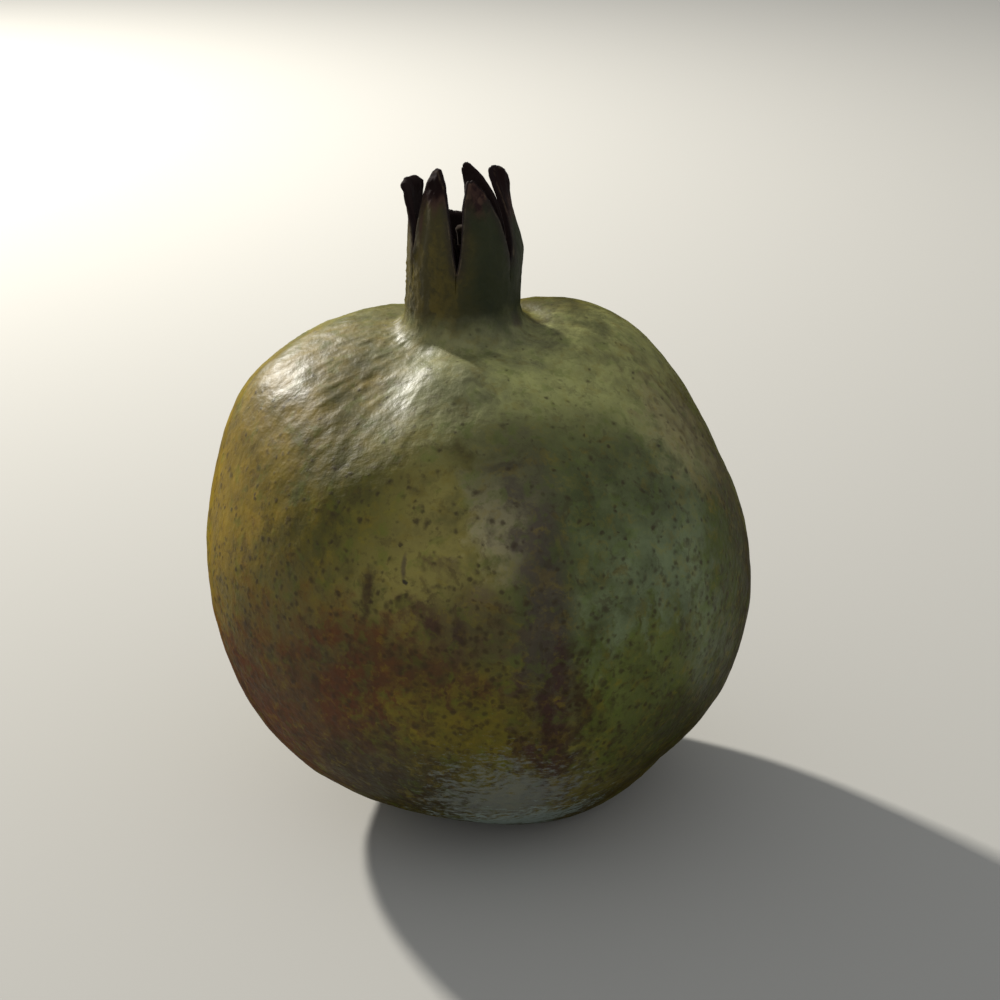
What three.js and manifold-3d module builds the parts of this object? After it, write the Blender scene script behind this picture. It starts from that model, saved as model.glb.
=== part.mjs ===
// A whole pomegranate, as picked, standing on its stalk end with its crown upright.
// Millimetres, +Z up. The origin is on the surface that the fruit rests on, under the middle of its box.
// Seen from the front, +X is to the right and -Y is towards the viewer. Azimuths are in degrees,
// anticlockwise from +X as seen from above, so the front of the fruit is at 270.

import * as THREE from "three";
import { mergeVertices } from "three/addons/utils/BufferGeometryUtils.js";
import Module from "manifold-3d";

const wasm = await Module();
wasm.setup();

const { degToRad, lerp, smoothstep } = THREE.MathUtils;

// The core line of the fruit. It leaves the middle of the foot and leans to the left, as the fruit hung,
// and the crown on top leans back a little.
const FOOT_MIDDLE = new THREE.Vector2(6.15, 0.1);
const LEAN = -0.102;
const CROWN_LEAN = 0.033;

// The stalk end: a woody stub in a dimple, with a flat ring round it that the fruit rests on.
const FOOT_RADIUS = 11;
const STALK_END = [
  [0, 0.8],
  [2.3, 0.7],
  [2.7, 2.1],
  [4.1, 2],
  [6.4, 0],
];

// The rind from the edge of the foot up to the foot of the crown, before it swells: radius and height.
const CROWN_FOOT = 87;
const RIND_OUTLINE = [
  [FOOT_RADIUS, 0],
  [20.9, 3],
  [32.3, 10],
  [39.2, 21.2],
  [42.8, 38],
  [42.3, 53],
  [36.8, 66],
  [27.2, 75],
  [18.5, 79.4],
  [12, 81.6],
  [9.9, 84],
  [9.2, CROWN_FOOT],
];
const RIND_ROWS = 30;
const RIND_MIDDLE = 42;

// Where the chambers inside push the rind out, and where it sinks between them: the azimuth and latitude of
// the middle of each place, how many degrees it spreads sideways and upwards, and how far it stands out.
const SWELLINGS = [
  { azimuth: 4, latitude: 31, wide: 24, tall: 24, rise: -0.7 },
  { azimuth: 25, latitude: 58, wide: 24, tall: 24, rise: 6.2 },
  { azimuth: 155, latitude: 58, wide: 24, tall: 24, rise: 2.9 },
  { azimuth: 140, latitude: 74, wide: 18, tall: 18, rise: 1.2 },
  { azimuth: 173, latitude: 36, wide: 22, tall: 22, rise: 2.7 },
  { azimuth: 187, latitude: 3, wide: 24, tall: 24, rise: 2.5 },
  { azimuth: 199, latitude: -22, wide: 26, tall: 26, rise: 3.8 },
  { azimuth: 270, latitude: -60, wide: 26, tall: 26, rise: -1.5 },
  { azimuth: 325, latitude: -42, wide: 28, tall: 26, rise: -4.2 },
  { azimuth: 283, latitude: 12, wide: 9, tall: 38, rise: 0.9 },
  { azimuth: 262, latitude: 30, wide: 10, tall: 30, rise: -0.5 },
  { azimuth: 305, latitude: 25, wide: 12, tall: 30, rise: -0.4 },
  { azimuth: 234, latitude: 62, wide: 9, tall: 15, rise: -1.3 },
  { azimuth: 262, latitude: 66, wide: 15, tall: 9, rise: 0.9 },
  { azimuth: 200, latitude: 50, wide: 14, tall: 12, rise: 0.7 },
  { azimuth: 222, latitude: 48, wide: 8, tall: 9, rise: 0.4 },
  { azimuth: 352, latitude: 18, wide: 9, tall: 34, rise: 0.5 },
  { azimuth: 70, latitude: 10, wide: 10, tall: 40, rise: 0.9 },
  { azimuth: 100, latitude: 30, wide: 12, tall: 26, rise: -0.7 },
  { azimuth: 128, latitude: 5, wide: 10, tall: 36, rise: 0.8 },
  { azimuth: 48, latitude: -25, wide: 16, tall: 16, rise: 0.9 },
  { azimuth: 95, latitude: -40, wide: 20, tall: 16, rise: -0.9 },
];
const CALM_ABOVE_FOOT = 9;
const CALM_BELOW_CROWN = 8;

// The crown is the flower's calyx, grown on as a tube that splits into sepals. Each sepal runs from its own
// notch to the next one, and narrows to its tip: the higher the exponent, the blunter it is. On the way up it
// can swell at its root, bow and lean out from the tube, sway along the rim and twist about its midline.
const TUBE_RADIUS = 9.1;
const WALL = 1.7;
const TIP_WALL = 0.9;
const ROOT_SWELLING_HEIGHT = 4;
const SEPALS = [
  { at: -34, notch: 95.1, tip: 109.2, blunt: 2.3, root: 0.8, bow: -0.8, lean: -3.7, sway: 0.8, twist: 0.35 },
  { at: 35, notch: 97, tip: 107.9, blunt: 2, root: 0.2, bow: 0.3, lean: -0.8, sway: 3.6, twist: 0 },
  { at: 95, notch: 100, tip: 104.6, blunt: 1.6, root: 0, bow: 0, lean: -0.4, sway: 0, twist: 0 },
  { at: 145, notch: 99, tip: 107.3, blunt: 4, root: 0, bow: 0, lean: -0.1, sway: -0.8, twist: 0.5 },
  { at: 202, notch: 95.6, tip: 110.1, blunt: 2, root: 0.2, bow: 0.2, lean: -1.9, sway: 0, twist: 0 },
  { at: 263.5, notch: 94.2, tip: 109, blunt: 1.55, root: 0.2, bow: 0.2, lean: -0.9, sway: -2.9, twist: 0.1 },
];
const COLUMNS_PER_SEPAL = 12;
const CROWN_ROWS = 11;
const LINING_ROWS = 9;
const COLUMNS = SEPALS.length * COLUMNS_PER_SEPAL;

// The floor of the cup inside the crown.
const CUP_FLOOR = 88;
const CUP_ROUNDING = 0.6;
const CUP_FLOOR_RADII = [6.2, 3.2];

// The withered stamens: a disc on the floor of the cup, the stump of the style, and rings of filaments that
// each end in an anther.
const GAP = 0.35;
const DISC_RADIUS = 6.6;
const DISC_THICKNESS = 1.3;
const DISC_SIDES = 16;
const STYLE_RADIUS = 0.9;
const STYLE_HEIGHT = 10;
const FILAMENT_RADIUS = 0.42;
const FILAMENT_STEPS = 3;
const ANTHER_SIZE = new THREE.Vector3(0.65, 0.65, 1.1);
const FILAMENT_RINGS = [
  { count: 14, rootRadius: 5.4, height: 8.6, reach: 0.1 },
  { count: 9, rootRadius: 3.9, height: 9.8, reach: -0.3 },
  { count: 5, rootRadius: 2.2, height: 9.4, reach: 0.5 },
];
const SEED = 7;

// Every number that needs chance comes from this one stream, so the part is the same each time.
function randomStream(seed) {
  let state = seed;
  return () => {
    state = (state * 16807) % 2147483647;
    return state / 2147483647;
  };
}

// The middle of the fruit at a height.
function coreAt(z) {
  const rindHeight = Math.min(z, CROWN_FOOT);
  const x = FOOT_MIDDLE.x + LEAN * rindHeight + CROWN_LEAN * (z - rindHeight);
  return new THREE.Vector2(x, FOOT_MIDDLE.y);
}

// A point at a distance from the core line.
function aroundCore(azimuth, radius, z) {
  const core = coreAt(z);
  return new THREE.Vector3(core.x + radius * Math.cos(azimuth), core.y + radius * Math.sin(azimuth), z);
}

// The sepal that a column belongs to, and how far across it the column is, from -1 to 1.
function columnPlace(column) {
  const wrapped = column % COLUMNS;
  const index = Math.floor(wrapped / COLUMNS_PER_SEPAL);
  const share = (wrapped % COLUMNS_PER_SEPAL) / COLUMNS_PER_SEPAL;
  const sepal = SEPALS[index];
  const next = SEPALS[(index + 1) % SEPALS.length];
  const nextAt = next.at + (index === SEPALS.length - 1 ? 360 : 0);
  const half = degToRad(nextAt - sepal.at) / 2;
  const middle = degToRad(sepal.at) + half;
  const across = 2 * share - 1;
  const notch = lerp(sepal.notch, next.notch, share);
  const margin = notch + (sepal.tip - notch) * (1 - Math.abs(across) ** sepal.blunt);
  return { sepal, across, half, middle, azimuth: middle + across * half, notch, margin };
}

// How far the rind stands out from its plain outline, along its normal, in a direction from its middle.
function swellingAt(direction, z) {
  let rise = 0;
  for (const s of SWELLINGS) {
    const azimuth = degToRad(s.azimuth);
    const latitude = degToRad(s.latitude);
    const middle = new THREE.Vector3().setFromSphericalCoords(1, Math.PI / 2 - latitude, azimuth);
    middle.set(middle.z, middle.x, middle.y);
    const east = new THREE.Vector3(-Math.sin(azimuth), Math.cos(azimuth), 0);
    const north = middle.clone().cross(east);
    const ahead = direction.dot(middle);
    const sideways = Math.atan2(direction.dot(east), ahead) / degToRad(s.wide);
    const upwards = Math.atan2(direction.dot(north), ahead) / degToRad(s.tall);
    rise += s.rise * Math.exp(-(sideways ** 2) - upwards ** 2);
  }
  const atFoot = smoothstep(z, 0, CALM_ABOVE_FOOT);
  const atCrown = 1 - smoothstep(z, CROWN_FOOT - CALM_BELOW_CROWN, CROWN_FOOT - 1);
  return rise * atFoot * atCrown;
}

const rindCurve = new THREE.SplineCurve(RIND_OUTLINE.map(([r, z]) => new THREE.Vector2(r, z)));

// The rind at a share of the way from foot to crown.
function rindPoint(column, share) {
  const { azimuth } = columnPlace(column);
  const base = rindCurve.getPoint(share);
  const tangent = rindCurve.getTangent(share);
  const out = new THREE.Vector3(
    base.x * Math.cos(azimuth),
    base.x * Math.sin(azimuth),
    base.y - RIND_MIDDLE,
  );
  const rise = swellingAt(out.normalize(), base.y);
  return aroundCore(azimuth, base.x + rise * tangent.y, base.y - rise * tangent.x);
}

// The crown at a share of the way from a height up to the sepal's margin, on its outside or its lining.
function crownPoint(column, share, from, isLining) {
  const { sepal, across, half, middle, notch, margin } = columnPlace(column);
  const z = lerp(from, margin, share);
  const up = Math.max(0, (z - notch) / (sepal.tip - notch));
  const flare = (RIND_OUTLINE.at(-1)[0] - TUBE_RADIUS) * (1 - smoothstep(z, CROWN_FOOT, CROWN_FOOT + 4));
  const wall = lerp(WALL, TIP_WALL, Math.min(1, up));
  const radius = TUBE_RADIUS + (isLining ? -wall : flare);
  const along = radius * Math.sin(across * half);
  const rootSwelling = sepal.root * Math.exp(-(((z - notch) / ROOT_SWELLING_HEIGHT) ** 2));
  const out =
    radius * Math.cos(across * half) +
    rootSwelling * Math.cos((across * Math.PI) / 2) +
    sepal.bow * Math.sin(Math.PI * up) +
    sepal.lean * up ** 1.6 +
    sepal.twist * up * along;
  const sideways = along + sepal.sway * up ** 1.5;
  const core = coreAt(z);
  return new THREE.Vector3(
    core.x + out * Math.cos(middle) - sideways * Math.sin(middle),
    core.y + out * Math.sin(middle) + sideways * Math.cos(middle),
    z,
  );
}

// The fruit's skin as rows from the stalk stub, up the rind, over the sepals and down into the cup.
function skinRows() {
  const rows = [];
  for (const [radius, z] of STALK_END) {
    rows.push((column) => aroundCore(columnPlace(column).azimuth, radius, z));
  }
  for (let i = 0; i <= RIND_ROWS; i++) {
    rows.push((column) => rindPoint(column, i / RIND_ROWS));
  }
  for (let i = 1; i <= CROWN_ROWS; i++) {
    rows.push((column) => crownPoint(column, i / CROWN_ROWS, CROWN_FOOT, false));
  }
  for (let i = LINING_ROWS; i > 0; i--) {
    rows.push((column) => crownPoint(column, i / LINING_ROWS, CUP_FLOOR + CUP_ROUNDING, true));
  }
  for (const radius of [...CUP_FLOOR_RADII, 0]) {
    rows.push((column) => aroundCore(columnPlace(column).azimuth, radius, CUP_FLOOR));
  }
  return rows;
}

// A turned shape whose every point is then put where its row and column say.
function fruitGeometry() {
  const rows = skinRows();
  const onAxis = new Set([0, rows.length - 1]);
  const profile = rows.map((_, i) => new THREE.Vector2(onAxis.has(i) ? 0 : 1, i));
  const geometry = new THREE.LatheGeometry(profile, COLUMNS);
  const position = geometry.getAttribute("position");
  for (let i = 0; i < position.count; i++) {
    const point = rows[i % rows.length](Math.floor(i / rows.length));
    position.setXYZ(i, point.x, point.y, point.z);
  }
  return welded(geometry);
}

// The same surface with only positions, and one vertex at each corner.
function welded(geometry) {
  const bare = geometry.clone();
  bare.deleteAttribute("normal");
  bare.deleteAttribute("uv");
  return mergeVertices(bare, 1e-4);
}

function solidFrom(geometry) {
  const surface = welded(geometry);
  const vertProperties = new Float32Array(surface.getAttribute("position").array);
  const triVerts = new Uint32Array(surface.index.array);
  return new wasm.Manifold(new wasm.Mesh({ numProp: 3, vertProperties, triVerts }));
}

function geometryFrom(solid) {
  const mesh = solid.getMesh();
  const geometry = new THREE.BufferGeometry();
  geometry.setAttribute("position", new THREE.BufferAttribute(mesh.vertProperties, 3));
  geometry.setIndex(new THREE.BufferAttribute(mesh.triVerts, 1));
  return geometry;
}

// A three-sided thread along a curve.
function thread(points, radius) {
  const section = new THREE.Shape();
  for (let i = 0; i < 3; i++) {
    const a = (2 * Math.PI * i) / 3;
    section.lineTo(radius * Math.cos(a), radius * Math.sin(a));
  }
  const extrudePath = new THREE.CatmullRomCurve3(points);
  return solidFrom(new THREE.ExtrudeGeometry(section, { steps: FILAMENT_STEPS, extrudePath }));
}

// One stamen: a filament that rises from the disc and bends over, with its anther on the end.
function stamen(azimuth, ring, chance) {
  const height = ring.height * lerp(0.75, 1.1, chance());
  const turn = lerp(-0.5, 0.5, chance());
  const reach = ring.reach + lerp(-0.9, 0.7, chance());
  const droop = lerp(0, 1.6, chance());
  const root = CUP_FLOOR + GAP + DISC_THICKNESS / 2;
  const points = [
    aroundCore(azimuth, ring.rootRadius, root),
    aroundCore(azimuth + turn * 0.3, ring.rootRadius + 0.2, root + height * 0.4),
    aroundCore(azimuth + turn * 0.8, ring.rootRadius + reach * 0.6, root + height * 0.8),
    aroundCore(azimuth + turn, ring.rootRadius + reach, root + height - droop * 0.4),
  ];
  const end = points.at(-1);
  const anther = new THREE.OctahedronGeometry(1, 0);
  anther.scale(...ANTHER_SIZE);
  anther.rotateZ(azimuth);
  anther.translate(end.x, end.y, end.z);
  return thread(points, FILAMENT_RADIUS).add(solidFrom(anther));
}

// The disc that lines the floor of the cup, with the stump of the style on it.
function discAndStyle() {
  const low = CUP_FLOOR + GAP;
  const high = low + DISC_THICKNESS;
  const profile = [
    [0, low],
    [DISC_RADIUS - 0.6, low],
    [DISC_RADIUS, low + 0.7],
    [DISC_RADIUS - 1, high],
    [STYLE_RADIUS + 1, high - 0.3],
    [STYLE_RADIUS, high + 1],
    [STYLE_RADIUS * 0.8, high + STYLE_HEIGHT - 1],
    [STYLE_RADIUS * 1.2, high + STYLE_HEIGHT],
    [0, high + STYLE_HEIGHT + 0.3],
  ].map(([r, z]) => new THREE.Vector2(r, z));
  const geometry = new THREE.LatheGeometry(profile, DISC_SIDES);
  geometry.rotateX(Math.PI / 2);
  const core = coreAt(low);
  geometry.translate(core.x, core.y, 0);
  return solidFrom(geometry);
}

function stamensGeometry() {
  const chance = randomStream(SEED);
  let solid = discAndStyle();
  for (const ring of FILAMENT_RINGS) {
    for (let i = 0; i < ring.count; i++) {
      const azimuth = (2 * Math.PI * (i + lerp(-0.3, 0.3, chance()))) / ring.count;
      solid = solid.add(stamen(azimuth, ring, chance));
    }
  }
  return geometryFrom(solid);
}

const rind = new THREE.MeshStandardMaterial({ color: 0x7d7a3c, roughness: 0.5, metalness: 0 });
const withered = new THREE.MeshStandardMaterial({ color: 0x4a3524, roughness: 0.9, metalness: 0 });

const pomegranate = new THREE.Group();

const fruit = new THREE.Mesh(fruitGeometry(), rind);
fruit.name = "fruit";
pomegranate.add(fruit);

const stamens = new THREE.Mesh(stamensGeometry(), withered);
stamens.name = "stamens";
pomegranate.add(stamens);

export default pomegranate;
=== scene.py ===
import math
import random

import bmesh
import bpy
import numpy as np
from mathutils import Matrix, Vector, noise


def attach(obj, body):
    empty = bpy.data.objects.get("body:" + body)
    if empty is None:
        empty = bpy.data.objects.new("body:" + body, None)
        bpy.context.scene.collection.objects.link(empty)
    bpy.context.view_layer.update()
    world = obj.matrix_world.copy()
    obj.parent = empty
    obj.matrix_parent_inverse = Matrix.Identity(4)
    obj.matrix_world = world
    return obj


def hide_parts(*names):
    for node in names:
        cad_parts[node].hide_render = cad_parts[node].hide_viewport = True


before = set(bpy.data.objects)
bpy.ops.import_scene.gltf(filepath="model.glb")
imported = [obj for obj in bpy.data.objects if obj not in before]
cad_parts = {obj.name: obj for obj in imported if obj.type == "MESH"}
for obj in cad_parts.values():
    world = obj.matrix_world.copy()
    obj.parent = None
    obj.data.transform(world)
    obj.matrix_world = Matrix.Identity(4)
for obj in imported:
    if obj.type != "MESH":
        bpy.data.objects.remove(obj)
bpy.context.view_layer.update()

# The camera looks a little down on the front of the fruit, from half an arm's length and through a portrait
# lens.
CAMERA_AIM = Vector((0.0032, 0, 0.0532))
CAMERA_DISTANCE = 0.323
CAMERA_ELEVATION = math.radians(22)

lens = bpy.data.cameras.new("camera")
lens.lens = 70
lens.sensor_width = 36
lens.clip_start = 0.01
camera = bpy.data.objects.new("camera", lens)
camera.location = CAMERA_AIM + CAMERA_DISTANCE * Vector(
    (0, -math.cos(CAMERA_ELEVATION), math.sin(CAMERA_ELEVATION))
)
camera.rotation_euler = (math.pi / 2 - CAMERA_ELEVATION, 0, 0)
bpy.context.scene.collection.objects.link(camera)
bpy.context.scene.camera = camera

# The fruit is one grown piece: the leathery rind, the woody stub of the stalk under it, and the dried calyx
# that stands on it as a crown. It is one skin, a grid wrapped round the core: its rows run from the middle of
# the stub up the rind, over the sepals' margins and down inside the crown. Lengths are in millimetres.
MM = 0.001
FOOT_MIDDLE = (6.15, 0.1)
LEAN = -0.102
CROWN_LEAN = 0.033
CROWN_FOOT = 87
RIND_MIDDLE = 42
STALK_END = [
    (0, 0.95),
    (0.7, 0.8),
    (1.4, 0.85),
    (2.0, 0.7),
    (2.35, 0.85),
    (2.5, 1.3),
    (2.65, 1.9),
    (2.9, 2.15),
    (3.3, 2.15),
    (3.8, 2.05),
    (4.3, 1.8),
    (4.9, 1.2),
    (5.6, 0.5),
    (6.4, 0.08),
    (7.4, 0),
    (8.6, 0),
    (9.8, 0),
]
RIND_OUTLINE = [
    (11, 0),
    (20.9, 3),
    (32.3, 10),
    (39.2, 21.2),
    (42.8, 38),
    (42.3, 53),
    (36.8, 66),
    (27.2, 75),
    (18.5, 79.4),
    (12, 81.6),
    (9.9, 84),
    (9.2, CROWN_FOOT),
]
# A place on the rind is an azimuth and a latitude, and how many degrees it spreads sideways and upwards. Here
# the chambers swell the rind, or it sinks between them, and the last number is how far it stands out.
SWELLINGS = [
    (4, 31, 24, 24, -0.7),
    (25, 58, 24, 24, 6.2),
    (155, 58, 24, 24, 2.9),
    (140, 74, 18, 18, 1.2),
    (173, 36, 22, 22, 2.7),
    (187, 3, 24, 24, 2.5),
    (199, -22, 26, 26, 3.8),
    (270, -60, 26, 26, -1.5),
    (325, -42, 28, 26, -4.2),
    (283, 12, 9, 38, 0.9),
    (262, 30, 10, 30, -0.5),
    (305, 25, 12, 30, -0.4),
    (234, 62, 9, 15, -1.3),
    (262, 66, 15, 9, 0.9),
    (200, 50, 14, 12, 0.7),
    (222, 48, 8, 9, 0.4),
    (352, 18, 9, 34, 0.5),
    (70, 10, 10, 40, 0.9),
    (100, 30, 12, 26, -0.7),
    (128, 5, 10, 36, 0.8),
    (48, -25, 16, 16, 0.9),
    (95, -40, 20, 16, -0.9),
]
# The smaller bumps and dents that catch the light on the upper left, which aren't in the outline.
DENTS = [
    (266, 69, 16, 7, 1.0),
    (236, 60, 7, 12, -0.5),
    (221, 60, 9, 10, -0.4),
    (212, 50, 8, 5, 0.4),
    (221, 55, 3, 7, -0.35),
    (186, 42, 15, 12, 1.0),
    (208, 54, 8, 10, -0.4),
]
# Where the rind has shrunk and wrinkled, and where it is scuffed, with how strongly.
SHRUNK = [
    (200, 52, 30, 22, 1.0),
    (262, 64, 20, 10, 0.8),
    (350, 42, 16, 18, 0.7),
    (120, 50, 40, 20, 0.5),
]
SCUFFED = [
    (348, 42, 10, 16, 1.0),
    (350, 60, 14, 8, 0.3),
]
CALM_ABOVE_FOOT = 9
CALM_BELOW_CROWN = 8
TUBE_RADIUS = 9.1
WALL = 1.7
TIP_WALL = 0.7
CUP_FLOOR = 88
CUP_FLOOR_RINGS = (6.2, 4.8, 3.2, 1.6, 0)
CUP_ROUNDING = 0.6
# Each sepal: the azimuth and height of the notch on its right, its tip's height, where the tip is across it,
# how blunt and how round it is, how its root swells, how it bows, flattens and leans out, sways and twists,
# how its dry tip curls in, how deep the crease under the tip is, how much thicker the tip has dried, and how
# far up it turns dry and then dark.
SEPALS = [
    dict(at=-34, notch=95.1, tip=109.2, peak=-0.15, blunt=2.3, tip_round=0, root=0.3, bow=-0.5, flat=0.75,
         lean=-3.7, sway=0.4, twist=0.65, curl=-0.2, crease=0.1, callus=0.4, dry_from=0.45, dark_from=0.62),
    dict(at=40, notch=97, tip=107.9, peak=0, blunt=1.4, tip_round=0.14, root=0.2, bow=0.3, flat=0, lean=-0.8,
         sway=3.4, twist=0, curl=-0.3, crease=0, callus=0.2, dry_from=0.25, dark_from=0.8),
    dict(at=95, notch=100, tip=101.2, peak=0.3, blunt=1.1, tip_round=0, root=0, bow=0, flat=0, lean=-0.4,
         sway=0, twist=0, curl=-0.4, crease=0, callus=0.3, dry_from=0.1, dark_from=0.6),
    dict(at=145, notch=99, tip=107.1, peak=0, blunt=3.6, tip_round=0, root=0, bow=-0.05, flat=0, lean=0.1,
         sway=-0.8, twist=0.5, curl=0.1, crease=0.2, callus=0.7, dry_from=0.42, dark_from=0.52),
    dict(at=208, notch=95.6, tip=109.8, peak=-0.1, blunt=2, tip_round=0, root=0.2, bow=0.2, flat=0, lean=-1.9,
         sway=-0.6, twist=0, curl=-0.5, crease=0.25, callus=0.3, dry_from=0.58, dark_from=0.7),
    dict(at=263.5, notch=94.2, tip=108.5, peak=-0.05, blunt=1.6, tip_round=0.08, root=0.2, bow=0.2, flat=0,
         lean=-0.9, sway=-2.4, twist=0.1, curl=-0.2, crease=0.1, callus=0.1, dry_from=0.73, dark_from=1.1),
]
COLUMNS_PER_SEPAL = 54
COLUMNS = COLUMNS_PER_SEPAL * len(SEPALS)
RIND_ROWS = 168
CROWN_ROWS = 66
LINING_ROWS = 38
NECK_ROWS = 20
MARGIN_ROUNDING = 0.55
FAR_FROM_MARGIN = 9.0
NEAR_COLUMNS = 30
CROWDED_TO_TIPS = 1.8


def smoothstep(x, low, high):
    t = np.clip((x - low) / (high - low), 0, 1)
    return t * t * (3 - 2 * t)


def hump(x, middle, spread):
    """1 where x is at the middle, fading to both sides over a spread."""
    return np.exp(-(((x - middle) / spread) ** 2))


def outline_at(share):
    """Radius and height of the rind's outline, on a smooth curve through its points."""
    knots = np.array([RIND_OUTLINE[0], *RIND_OUTLINE, RIND_OUTLINE[-1]], float)
    along = np.clip(share, 0, 1) * (len(RIND_OUTLINE) - 1)
    first = np.minimum(along.astype(int), len(RIND_OUTLINE) - 2)
    t = (along - first)[:, None]
    a, b, c, d = (knots[first + i] for i in range(4))
    return (
        b
        + t * (c - a) / 2
        + t**2 * (a - 2.5 * b + 2 * c - d / 2)
        + t**3 * (1.5 * b - a / 2 - 1.5 * c + d / 2)
    )


def core_at(height):
    """The middle of the fruit at a height: the rind leans left, and the crown leans a little to the right."""
    rind_height = np.minimum(height, CROWN_FOOT)
    return FOOT_MIDDLE[0] + LEAN * rind_height + CROWN_LEAN * (height - rind_height)


def around_core(azimuth, radius, height):
    """Points at an azimuth, radius and height round the middle of the fruit."""
    x = core_at(height) + radius * np.cos(azimuth)
    y = FOOT_MIDDLE[1] + radius * np.sin(azimuth)
    return np.stack(np.broadcast_arrays(x, y, height), -1)


def nearness(directions, azimuth, latitude, wide, tall):
    """How near each point of the rind is to a place on it, from 0 to 1."""
    a, l = math.radians(azimuth), math.radians(latitude)
    middle = np.array([math.cos(l) * math.cos(a), math.cos(l) * math.sin(a), math.sin(l)])
    east = np.array([-math.sin(a), math.cos(a), 0])
    north = np.cross(middle, east)
    ahead = directions @ middle
    sideways = np.degrees(np.arctan2(directions @ east, ahead))
    upwards = np.degrees(np.arctan2(directions @ north, ahead))
    return hump(sideways, 0, wide) * hump(upwards, 0, tall)


def over_rind(places):
    """What a list of places adds up to at each point of the rind."""
    return sum(amount * nearness(directions, *place) for *place, amount in places)


def unevenness(points, size, octaves, stretch=(1, 1, 1)):
    """Noise between about -1 and 1 at points, with lumps of a size, stretched along x, y and z."""
    scaled = points / (size * np.array(stretch))
    flat = [noise.fractal(Vector(p), 0.8, 2.1, octaves) for p in scaled.reshape(-1, 3)]
    return np.array(flat).reshape(points.shape[:-1])


def creases(points, width, length, heading):
    """Sharp-edged wrinkles, 1 on a ridge and 0 away from it, a width apart and drawn out along a heading."""
    heading = np.array(heading) / np.linalg.norm(heading)
    along = (points @ heading)[..., None] * heading
    scaled = (points - along) / width + along / length
    flat = [1 - 2.4 * abs(noise.noise(Vector(p))) for p in scaled.reshape(-1, 3)]
    return np.clip(np.array(flat), 0, 1).reshape(points.shape[:-1]) ** 2


# One value for each column: its sepal, how far across the sepal it is, from -1 to 1, and the height of the
# sepal's margin there, which is a little ragged.
column = np.arange(COLUMNS)
sepal_of = column // COLUMNS_PER_SEPAL
share_across = (column % COLUMNS_PER_SEPAL) / COLUMNS_PER_SEPAL
own = {key: np.array([s[key] for s in SEPALS], float)[sepal_of] for key in SEPALS[0]}
following = (sepal_of + 1) % len(SEPALS)
next_notch = np.array([s["notch"] for s in SEPALS], float)[following]
next_at = np.array([s["at"] for s in SEPALS], float)[following] + 360 * (following == 0)
half_angle = np.radians(next_at - own["at"]) / 2
middle_angle = np.radians(own["at"]) + half_angle
across = 2 * share_across - 1
azimuths = middle_angle + across * half_angle
notch = own["notch"] * (1 - share_across) + next_notch * share_across
from_peak = (across - own["peak"]) / (1 - own["peak"] * np.sign(across - own["peak"]))
tip_round = own["tip_round"]
from_peak = (np.hypot(from_peak, tip_round) - tip_round) / (np.hypot(1, tip_round) - tip_round)
margin = notch + (own["tip"] - notch) * (1 - from_peak ** own["blunt"])
ragged = [noise.fractal(Vector((9 * math.cos(a), 9 * math.sin(a), 3.7)), 0.7, 2.2, 4) for a in azimuths]
margin += np.array(ragged) * np.minimum(0.35, (margin - notch) * 0.4)

# The rind, in rows that are evenly spaced along its outline, which is measured in small steps. Directions say
# where each point lies from the middle of the rind.
OUTLINE_STEPS = 4000
fine_shares = np.linspace(0, 1, OUTLINE_STEPS)
fine_steps = np.linalg.norm(np.diff(outline_at(fine_shares), axis=0), axis=1)
fine_lengths = np.concatenate([[0], np.cumsum(fine_steps)])
even_lengths = np.linspace(0, fine_lengths[-1], RIND_ROWS + 1)
outline = outline_at(np.interp(even_lengths, fine_lengths, fine_shares))
tangent = np.gradient(outline, axis=0)
tangent /= np.linalg.norm(tangent, axis=1)[:, None]
radius, height = outline[:, :1], outline[:, 1:]
directions = np.stack(
    np.broadcast_arrays(radius * np.cos(azimuths), radius * np.sin(azimuths), height - RIND_MIDDLE), -1
)
directions = directions / np.linalg.norm(directions, axis=-1)[..., None]
rise = over_rind(SWELLINGS) * smoothstep(height, 0, CALM_ABOVE_FOOT)
rise = rise * (1 - smoothstep(height, CROWN_FOOT - CALM_BELOW_CROWN, CROWN_FOOT - 1))
rind_rows = around_core(azimuths, radius + rise * tangent[:, 1:], height - rise * tangent[:, :1])

# The crown. Its wall is rounded off towards the sepals' margins, by how far each point is from them.
front_left = sepal_of == 4
column_width = TUBE_RADIUS * 2 * math.pi / COLUMNS


def folds(z, up):
    """How deep the outside is folded: a fold down the left of the front left sepal, with a bump under it, a
    shallow fold on each side of a sepal's midrib, and a furrow under each notch."""
    fold = front_left * hump(across, -0.52, 0.12) * hump(up, 0.62, 0.15)
    bump_below = front_left * hump(across, -0.82, 0.16) * hump(z, 96.3, 1.2)
    beside_midrib = hump(np.abs(across), 0.33, 0.16) * np.sin(math.pi * np.clip(up, 0, 1))
    furrow = hump(np.abs(across), 1, 0.1) * hump(z, notch - 1.5, 2.2)
    return 0.5 * fold - 0.9 * bump_below + 0.35 * beside_midrib + 0.6 * furrow


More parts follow.
